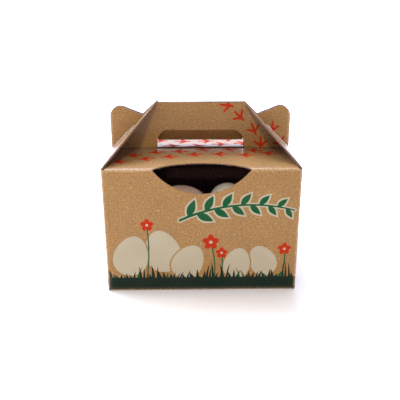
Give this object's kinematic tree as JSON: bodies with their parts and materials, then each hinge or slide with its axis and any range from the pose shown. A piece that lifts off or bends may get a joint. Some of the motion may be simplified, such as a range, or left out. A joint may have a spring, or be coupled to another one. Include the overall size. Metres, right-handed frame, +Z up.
{
  "type": "egg carton with eggs",
  "caption": "Shut carrying carton of kraft corrugated board with a lens-shaped window, a stand-up handle with ears, leaning gable flaps and hen's eggs inside.",
  "frame": {"origin": "on the floor under the middle of the carton", "axes": "+Z up, -Y towards the face with the window, +X to the right of someone looking at that face"},
  "size_m": [0.196, 0.172, 0.1845],
  "materials": {
    "kraft_board": "matte",
    "tan_shell": "eggshell",
    "pale_shell": "eggshell"
  },
  "bodies": {
    "root": {"carton": "kraft_board", "egg_lower_1": "tan_shell", "egg_lower_2": "pale_shell", "egg_lower_3": "tan_shell", "egg_lower_4": "tan_shell", "egg_lower_5": "tan_shell", "egg_lower_6": "pale_shell", "egg_lower_7": "tan_shell", "egg_lower_8": "tan_shell", "egg_lower_9": "tan_shell", "egg_lower_10": "pale_shell", "egg_lower_11": "tan_shell", "egg_lower_12": "tan_shell", "egg_lower_13": "tan_shell", "egg_lower_14": "pale_shell", "egg_upper_left": "tan_shell", "egg_window_left": "tan_shell", "egg_window_right": "pale_shell", "egg_upper_right": "tan_shell"}
  },
  "joints": []
}
